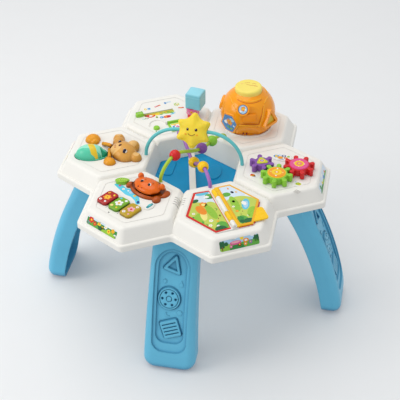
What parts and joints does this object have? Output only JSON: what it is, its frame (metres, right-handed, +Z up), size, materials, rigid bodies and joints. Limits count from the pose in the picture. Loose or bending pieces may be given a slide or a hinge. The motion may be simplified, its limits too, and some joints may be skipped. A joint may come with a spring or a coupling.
{
  "type": "musical activity table",
  "caption": "Toddler's hexagon-panel play table on curved legs, with piano keys, press buttons, page book, meshing gears, lift-off ball, spinning post, bead maze and sunken tray",
  "frame": {"origin": "centre of the floor rectangle under the table, at floor level", "axes": "+Z up, -Y to the front where one leg stands between the keys panel and the book panel, +X to the gear panel"},
  "size_m": [0.6882, 0.5834, 0.4569],
  "materials": {
    "amber": "satin moulded",
    "bear_tan": "satin moulded",
    "blue_rod": "satin moulded",
    "board_green": "solder mask",
    "brown_orange": "satin moulded",
    "cell_wrap": "printed sleeve",
    "cover_white": "fine texture",
    "green": "satin moulded",
    "head_orange": "satin moulded",
    "leg_blue": "satin moulded",
    "lime": "polished",
    "mint": "satin moulded",
    "olive_yellow": "polished",
    "orange": "satin moulded",
    "pink": "satin moulded",
    "print_white": "printed sheet",
    "purple": "polished",
    "red": "polished",
    "rubber_grey": "moulded",
    "shell_white": "satin moulded",
    "sky_blue": "satin moulded",
    "soft_yellow": "satin moulded",
    "speaker_black": "paper cone and pressed frame",
    "steel": "zinc plated",
    "teal": "polished",
    "teal_dark": "satin moulded",
    "tray_blue": "satin moulded",
    "yellow": "satin moulded"
  },
  "bodies": {
    "table": {"top_shell": "shell_white", "bottom_cover": "cover_white", "basin_tray": "tray_blue", "leg_front": "leg_blue", "leg_back": "leg_blue", "leg_left": "leg_blue", "leg_right": "leg_blue", "cover_screws": "steel", "batteries": "cell_wrap", "battery_contacts": "steel", "circuit_board": "board_green", "speaker": "speaker_black", "key_switch_mat": "rubber_grey", "hippo_body": "brown_orange", "bear_head": "bear_tan", "bear_foot": "amber", "bear_hand": "amber", "book_panel": "print_white", "spine_pin": "steel", "gear_axles": "shell_white", "slider_track": "lime", "flap_pin": "blue_rod", "lamp": "green", "arch_wire": "teal", "green_wire": "lime", "purple_wire": "purple"},
    "red_key": {"key_red": "red"},
    "green_key": {"key_green": "green"},
    "yellow_key": {"key_yellow": "olive_yellow"},
    "leaf": {"leaf_button": "green"},
    "hippo": {"hippo_head": "head_orange"},
    "bear_button": {"bear_body": "mint"},
    "switch": {"power_switch": "teal_dark"},
    "green_gear": {"gear_green": "green", "gear_cap_green": "orange"},
    "red_gear": {"gear_red": "red", "gear_cap_red": "pink"},
    "purple_gear": {"gear_purple": "purple", "gear_cap_purple": "soft_yellow"},
    "page": {"book_page": "yellow"},
    "ball": {"ball_shell": "orange", "ball_window": "soft_yellow"},
    "ball_button": {"ball_cap": "soft_yellow"},
    "post": {"block_post": "red", "post_ring": "pink"},
    "cube": {"cube_block": "sky_blue"},
    "slider": {"slider_knob": "green"},
    "flap_tile": {"flap": "green"},
    "star_body": {"star": "soft_yellow"},
    "red_bead": {"bead_red": "red"},
    "violet_bead": {"bead_violet": "purple"},
    "lime_bead": {"bead_lime": "lime"},
    "front_yellow_bead": {"bead_yellow_front": "yellow"},
    "back_yellow_bead": {"bead_yellow_back": "yellow"},
    "door": {"battery_door": "cover_white", "battery_door_screw": "steel"}
  },
  "joints": [
    {"name": "red_key_press", "type": "slide", "parent": "table", "child": "red_key", "axis": [0, 0, -1], "range_m": [0, 0.0025], "stiffness_N_per_m": 300, "springref_m": -0.002},
    {"name": "green_key_press", "type": "slide", "parent": "table", "child": "green_key", "axis": [0, 0, -1], "range_m": [0, 0.0025], "stiffness_N_per_m": 300, "springref_m": -0.002},
    {"name": "yellow_key_press", "type": "slide", "parent": "table", "child": "yellow_key", "axis": [0, 0, -1], "range_m": [0, 0.0025], "stiffness_N_per_m": 300, "springref_m": -0.002},
    {"name": "leaf_press", "type": "slide", "parent": "table", "child": "leaf", "axis": [0, 0, -1], "range_m": [0, 0.002], "stiffness_N_per_m": 300, "springref_m": -0.002},
    {"name": "hippo_press", "type": "slide", "parent": "table", "child": "hippo", "axis": [0, 0, -1], "range_m": [0, 0.003], "stiffness_N_per_m": 400, "springref_m": -0.002},
    {"name": "bear_press", "type": "slide", "parent": "table", "child": "bear_button", "axis": [0, 0, -1], "range_m": [0, 0.003], "stiffness_N_per_m": 600, "springref_m": -0.002},
    {"name": "switch_slide", "type": "slide", "parent": "table", "child": "switch", "axis": [-0.5, -0.866, 0], "range_m": [-0.005, 0.005]},
    {"name": "green_spin", "type": "hinge", "parent": "table", "child": "green_gear", "pos_m": [0.1836, -0.038, 0.358], "axis": [0, 0, 1], "continuous": true},
    {"name": "red_spin", "type": "hinge", "parent": "table", "child": "red_gear", "pos_m": [0.22606, 0.00091, 0.358], "axis": [0, 0, 1], "continuous": true},
    {"name": "purple_spin", "type": "hinge", "parent": "table", "child": "purple_gear", "pos_m": [0.14747, -0.00286, 0.358], "axis": [0, 0, 1], "continuous": true},
    {"name": "page_turn", "type": "hinge", "parent": "table", "child": "page", "pos_m": [0.0918, -0.159, 0.3554], "axis": [0.5, -0.866, 0], "range_deg": [0, 176]},
    {"name": "ball_lift", "type": "slide", "parent": "table", "child": "ball", "axis": [0, 0, 1], "range_m": [0, 0.12]},
    {"name": "ball_cap_press", "type": "slide", "parent": "ball", "child": "ball_button", "axis": [0, 0, -1], "range_m": [0, 0.003], "stiffness_N_per_m": 400, "springref_m": -0.002},
    {"name": "post_spin", "type": "hinge", "parent": "table", "child": "post", "pos_m": [-0.03526, 0.16508, 0.36], "axis": [0, 0, 1], "continuous": true},
    {"name": "cube_lift", "type": "slide", "parent": "post", "child": "cube", "axis": [0, 0, 1], "range_m": [0, 0.05]},
    {"name": "slider_move", "type": "slide", "parent": "table", "child": "slider", "axis": [0.866, 0.5, 0], "range_m": [0, 0.069]},
    {"name": "flap_lift", "type": "hinge", "parent": "table", "child": "flap_tile", "pos_m": [-0.07363, 0.13254, 0.3536], "axis": [-0.866, -0.5, 0], "range_deg": [0, 110]},
    {"name": "star_spin", "type": "hinge", "parent": "table", "child": "star_body", "pos_m": [0, 0, 0.424], "axis": [1, 0, 0], "continuous": true},
    {"name": "red_bead_turn", "type": "hinge", "parent": "table", "child": "red_bead", "pos_m": [-0.02958, -0.05124, 0.39224], "axis": [0.4992, 0.8646, 0.0568], "continuous": true},
    {"name": "violet_bead_turn", "type": "hinge", "parent": "table", "child": "violet_bead", "pos_m": [0.01316, 0.02279, 0.36562], "axis": [0.4958, 0.8588, -0.129], "continuous": true},
    {"name": "lime_bead_turn", "type": "hinge", "parent": "table", "child": "lime_bead", "pos_m": [0.02995, 0.05188, 0.36757], "axis": [0.4956, 0.8585, 0.1318], "continuous": true},
    {"name": "front_yellow_bead_turn", "type": "hinge", "parent": "table", "child": "front_yellow_bead", "pos_m": [0.03033, -0.05253, 0.37156], "axis": [-0.4925, 0.8531, -0.172], "continuous": true},
    {"name": "back_yellow_bead_turn", "type": "hinge", "parent": "table", "child": "back_yellow_bead", "pos_m": [0.00029, -0.0005, 0.34308], "axis": [-0.4807, 0.8326, -0.275], "continuous": true},
    {"name": "door_drop", "type": "slide", "parent": "table", "child": "door", "axis": [0, 0, -1], "range_m": [0, 0.04]}
  ],
  "couplings": [
    {"joint": "red_spin", "follows": "green_spin", "ratio": -1},
    {"joint": "purple_spin", "follows": "green_spin", "ratio": -1.3333}
  ]
}
